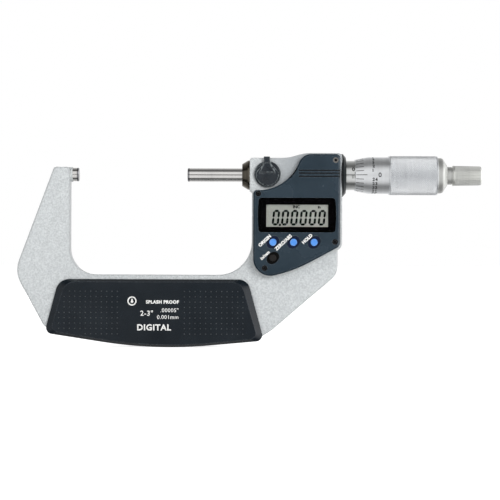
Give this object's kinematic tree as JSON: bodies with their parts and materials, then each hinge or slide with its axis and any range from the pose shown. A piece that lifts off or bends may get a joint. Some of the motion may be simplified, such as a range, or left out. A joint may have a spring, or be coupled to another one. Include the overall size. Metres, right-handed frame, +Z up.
{
  "type": "outside micrometer",
  "caption": "Digital outside micrometer: C-shaped frame with grip covers, display head with press buttons, clamp lever, spindle, graduated thimble and ratchet stop.",
  "frame": {"origin": "centre of the anvil's measuring face", "axes": "+X along the spindle axis from the anvil to the ratchet, +Z up from the grip to the spindle axis, -Y out of the display"},
  "size_m": [0.2166, 0.0246, 0.0904],
  "materials": {
    "frame_enamel": "light grey hammered enamel on a casting",
    "ground_steel": "ground and lapped hardened steel",
    "carbide": "lapped tungsten carbide",
    "cover_plastic": "near-black moulded plastic with a grid of small dots",
    "black_screw": "black oxide",
    "black_trim": "black",
    "rubber": "black seal rubber",
    "bronze": "plain",
    "clamp_finish": "dark blue-grey satin",
    "steel_parts": "plain",
    "housing_plastic": "dark blue-grey moulded plastic with a fine grain",
    "window_black": "black-bordered clear window",
    "lcd_glass": "grey liquid crystal display",
    "inner_plastic": "black",
    "board_green": "green board",
    "button_blue": "bright blue moulded",
    "button_black": "black moulded",
    "satin_chrome": "satin chrome plate",
    "battery_steel": "bright",
    "rear_trim": "dark moulded plastic"
  },
  "bodies": {
    "frame": {"frame": "frame_enamel", "anvil": "ground_steel", "spindle_guide_bush": "ground_steel", "anvil_tip": "carbide", "front_grip_cover": "cover_plastic", "rear_grip_cover": "cover_plastic", "grip_cover_screws": "black_screw", "housing_screws": "black_screw", "output_cap_screws": "black_screw", "spindle_seal_cap": "black_trim", "sleeve_collar": "black_trim", "spindle_wiper": "rubber", "housing_gasket": "rubber", "button_seal": "rubber", "lcd_connector_strips": "rubber", "battery_lid_seal": "rubber", "output_cap_seal": "rubber", "clamp_shoe": "bronze", "battery_contact": "bronze", "rotor_spring": "steel_parts", "taper_nut": "steel_parts", "inner_sleeve": "steel_parts", "display_housing": "housing_plastic", "display_window": "window_black", "lcd_panel": "lcd_glass", "lcd_holder": "inner_plastic", "button_switches": "inner_plastic", "battery_holder": "inner_plastic", "output_connector": "inner_plastic", "circuit_board": "board_green", "encoder_stator": "board_green", "outer_sleeve": "satin_chrome", "battery_cell": "battery_steel", "battery_lid": "rear_trim", "output_cap": "rear_trim"},
    "rotor": {"encoder_rotor": "board_green", "rotor_bush": "bronze", "rotor_key": "steel_parts"},
    "spindle": {"spindle": "ground_steel", "spindle_tip": "carbide", "thimble": "satin_chrome", "thimble_cap": "satin_chrome", "ratchet_screw": "steel_parts", "ratchet_click_ring": "bronze", "ratchet_spring": "steel_parts"},
    "ratchet": {"ratchet_knob": "satin_chrome"},
    "clamp": {"clamp_lever": "clamp_finish", "clamp_shaft": "steel_parts"},
    "origin_key": {"origin_button": "button_blue"},
    "zero_key": {"zero_button": "button_blue"},
    "hold_key": {"hold_button": "button_blue"},
    "unit_key": {"unit_button": "button_black"}
  },
  "joints": [
    {"name": "thimble_turn", "type": "hinge", "parent": "frame", "child": "rotor", "pos_m": [0.1087, 0, 0], "axis": [1, 0, 0], "range_deg": [-228, 14628]},
    {"name": "spindle_travel", "type": "slide", "parent": "rotor", "child": "spindle", "axis": [1, 0, 0], "range_m": [-0.0004, 0.0258]},
    {"name": "ratchet_turn", "type": "hinge", "parent": "spindle", "child": "ratchet", "pos_m": [0.1742, 0, 0], "axis": [1, 0, 0], "continuous": true},
    {"name": "clamp_turn", "type": "hinge", "parent": "frame", "child": "clamp", "pos_m": [0.088, 0, 0], "axis": [0, 1, 0], "range_deg": [-60, 0]},
    {"name": "origin_press", "type": "slide", "parent": "frame", "child": "origin_key", "axis": [0, 1, 0], "range_m": [0, 0.0008], "stiffness_N_per_m": 1200, "springref_m": -0.0003},
    {"name": "zero_press", "type": "slide", "parent": "frame", "child": "zero_key", "axis": [0, 1, 0], "range_m": [0, 0.0008], "stiffness_N_per_m": 1200, "springref_m": -0.0003},
    {"name": "hold_press", "type": "slide", "parent": "frame", "child": "hold_key", "axis": [0, 1, 0], "range_m": [0, 0.0008], "stiffness_N_per_m": 1200, "springref_m": -0.0003},
    {"name": "unit_press", "type": "slide", "parent": "frame", "child": "unit_key", "axis": [0, 1, 0], "range_m": [0, 0.0008], "stiffness_N_per_m": 1200, "springref_m": -0.0003}
  ],
  "couplings": [
    {"joint": "thimble_turn", "follows": "spindle_travel", "rad_per_m": 9894.8}
  ]
}
